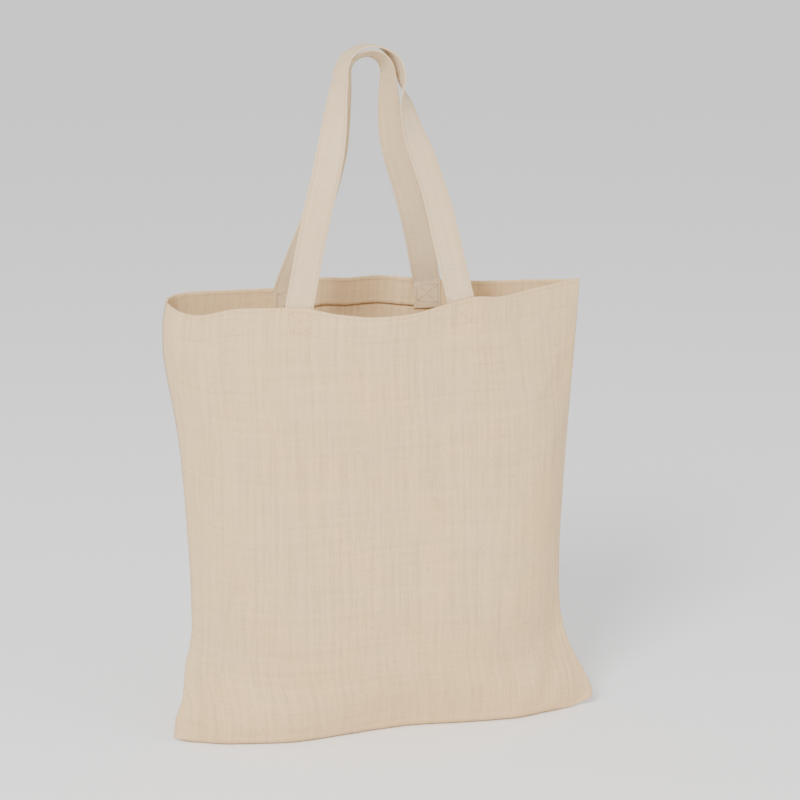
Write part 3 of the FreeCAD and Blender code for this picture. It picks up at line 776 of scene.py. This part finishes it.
def make_handle(sign):
    side = SIDE[sign]
    path, across, normal = handle_path(sign)
    path = soften(path, normal, 5 + sign)
    item = loft(f"{side}_handle_strap", path, across, normal, strap_section(), STRAP)
    runs = []
    for edge in (-1, 1):
        for face in (-1, 1):
            points = path + across * edge * STRAP_ROW
            points = points + normal * face * (STRAP_THICKNESS / 2 - 0.12)
            runs.append((points, normal * face))
    rows = stitches(f"{side}_handle_stitches", runs, THREAD, pitch=3.0, length=2.4, width=0.45)
    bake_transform(item)
    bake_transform(rows)
    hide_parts(f"{side}_handle", f"{side}_left_handle_end", f"{side}_right_handle_end")
    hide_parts(f"{side}_handle_edge_stitch")
    return item


def box_runs(centre_x, wall, face, offset):
    """The square and cross that hold a strap's end, as runs over the wall's surface."""
    corners = {"a": (-BOX_HALF, BOX_LOW), "b": (BOX_HALF, BOX_LOW), "c": (BOX_HALF, BOX_TOP),
               "d": (-BOX_HALF, BOX_TOP)}
    runs = []
    for start, stop in ("ab", "bc", "cd", "da", "ac", "bd"):
        t = np.linspace(0, 1, 30)
        x = centre_x + corners[start][0] * (1 - t) + corners[stop][0] * t
        below = corners[start][1] * (1 - t) + corners[stop][1] * t
        u0 = wall.u_at(x, 400.0)
        z = wall.rim_height(u0) - below
        u = wall.u_at(x, z)
        n = wall.normal(u, z)
        points = wall.point(u, z) + n * offset
        runs.append((points, n * face))
    return runs


def make_box_stitches(sign):
    side = SIDE[sign]
    wall = WALLS[sign]
    inner = -(2 * ROLL + CLOTH + STRAP_THICKNESS + 0.2)
    for end, leg in zip(("left", "right"), LEGS[sign]):
        runs = box_runs(leg[0][0], wall, 1, 0.0) + box_runs(leg[0][0], wall, -1, inner)
        item = stitches(f"{side}_{end}_box_stitches", runs, THREAD, pitch=2.9, length=2.3)
        declare(item, "bag", "sewing_thread", f"{side}_{end}_box_stitch")


# ---------------------------------------------------------------- seam allowances inside

def make_side_seam(end):
    """The two panels' edges sewn together inside, with their overlock thread."""
    seam = LEFT_SEAM if end == "left" else RIGHT_SEAM
    inwards = 1 if end == "left" else -1
    wobble = waves(91 if end == "left" else 92, 5, 40, 110)
    z = np.linspace(14, 386, 150)
    x = curve(seam, z) + inwards * 1.2
    bend = wobble(z, 0 * z) * 2.2
    rows = [
        np.stack([x + inwards * w * 0.98, bend * (w / ALLOWANCE_WIDTH) ** 1.5, z], -1)
        for w in np.linspace(0, ALLOWANCE_WIDTH, 8)
    ]
    item = thick_sheet(f"{end}_seam_allowance_cloth", np.stack(rows, 1), ALLOWANCE_THICKNESS, CANVAS)
    declare(item, "bag", "canvas", f"{end}_seam_allowance")
    edge = rows[-1]
    t = np.linspace(0, 1, OVERLOCK_LOOPS * 8 + 1)
    at = t * (len(z) - 1)
    base = np.stack([np.interp(at, np.arange(len(z)), edge[:, k]) for k in range(3)], -1)
    phase = t * OVERLOCK_LOOPS * 2 * math.pi
    path = base + np.stack([
        -inwards * (2.0 - 2.4 * np.cos(phase)), 0.95 * np.sin(phase), 0.4 * np.sin(phase + 0.5),
    ], -1)
    thread = tube(f"{end}_seam_overlock_thread", path, OVERLOCK_RADIUS, OVERLOCK)
    declare(thread, "bag", "overlock_thread", f"{end}_seam_overlock")


# ---------------------------------------------------------------- build the object

PANELS = {sign: make_panel(sign) for sign in (FRONT, BACK)}
HANDLES = {sign: make_handle(sign) for sign in (FRONT, BACK)}
for sign in (FRONT, BACK):
    hem_rows(sign)
    make_box_stitches(sign)
for end in ("left", "right"):
    make_side_seam(end)

for node, material in (("bottom_seam_allowance", SEAM_CLOTH), ("bottom_seam_overlock", OVERLOCK)):
    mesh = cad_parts[node].data
    mesh.materials.clear()
    mesh.materials.append(material)


# ---------------------------------------------------------------- floor, light and camera

FLOOR_SIZE = 12.0
FLOOR_DROP = 0.0002         # the floor lies just under the bag
KEY_POWER, FILL_POWER, WORLD_STRENGTH = 112, 16, 1.05


def make_floor():
    bpy.ops.mesh.primitive_plane_add(size=FLOOR_SIZE, location=(0, 0, -FLOOR_DROP))
    floor = bpy.context.object
    floor.name = "floor"
    n = Nodes("floor")
    n.shader.inputs["Base Color"].default_value = (0.96, 0.96, 0.96, 1)
    n.shader.inputs["Roughness"].default_value = 0.9
    n.shader.inputs["Specular IOR Level"].default_value = 0.1
    floor.data.materials.append(n.material)


def make_area_light(name, place, aim, size, power):
    data = bpy.data.lights.new(name, "AREA")
    data.shape = "RECTANGLE"
    data.size, data.size_y = size
    data.energy = power
    lamp = bpy.data.objects.new(name, data)
    bpy.context.scene.collection.objects.link(lamp)
    direction = np.array(aim, float) - np.array(place, float)
    z = -direction / np.linalg.norm(direction)
    x = np.cross([0, 0, 1.0], z)
    x /= np.linalg.norm(x)
    y = np.cross(z, x)
    lamp.matrix_world = Matrix([[x[i], y[i], z[i], place[i]] for i in range(3)] + [[0, 0, 0, 1]])


def make_world():
    world = bpy.data.worlds.new("studio")
    world.use_nodes = True
    world.node_tree.nodes["Background"].inputs["Color"].default_value = (1, 1, 1, 1)
    world.node_tree.nodes["Background"].inputs["Strength"].default_value = WORLD_STRENGTH
    bpy.context.scene.world = world


def make_camera():
    """The view from a little above and to the left of the front."""
    azimuth, elevation, roll = math.radians(-12.4), math.radians(13.34), math.radians(-0.61)
    distance, target, focal_px, frame_px = 2.2, np.array([0.0264, 0, 0.311]), 2409, 800
    back = np.array([math.sin(azimuth) * math.cos(elevation),
                     -math.cos(azimuth) * math.cos(elevation), math.sin(elevation)])
    right = np.array([math.cos(azimuth), math.sin(azimuth), 0])
    up = np.cross(back, right)
    right, up = (math.cos(roll) * right + math.sin(roll) * up,
                 -math.sin(roll) * right + math.cos(roll) * up)
    place = target + back * distance
    data = bpy.data.cameras.new("camera")
    data.sensor_width = 36
    data.lens = focal_px / frame_px * data.sensor_width
    camera = bpy.data.objects.new("camera", data)
    bpy.context.scene.collection.objects.link(camera)
    camera.matrix_world = Matrix(
        [[right[i], up[i], back[i], place[i]] for i in range(3)] + [[0, 0, 0, 1]]
    )
    bpy.context.scene.camera = camera


make_floor()
make_world()
make_area_light("key", (-1.4, -2.2, 2.2), (0, 0, 0.3), (1.1, 1.1), KEY_POWER)
make_area_light("fill", (1.8, -1.8, 1.2), (0, 0, 0.3), (1.6, 1.6), FILL_POWER)
make_camera()
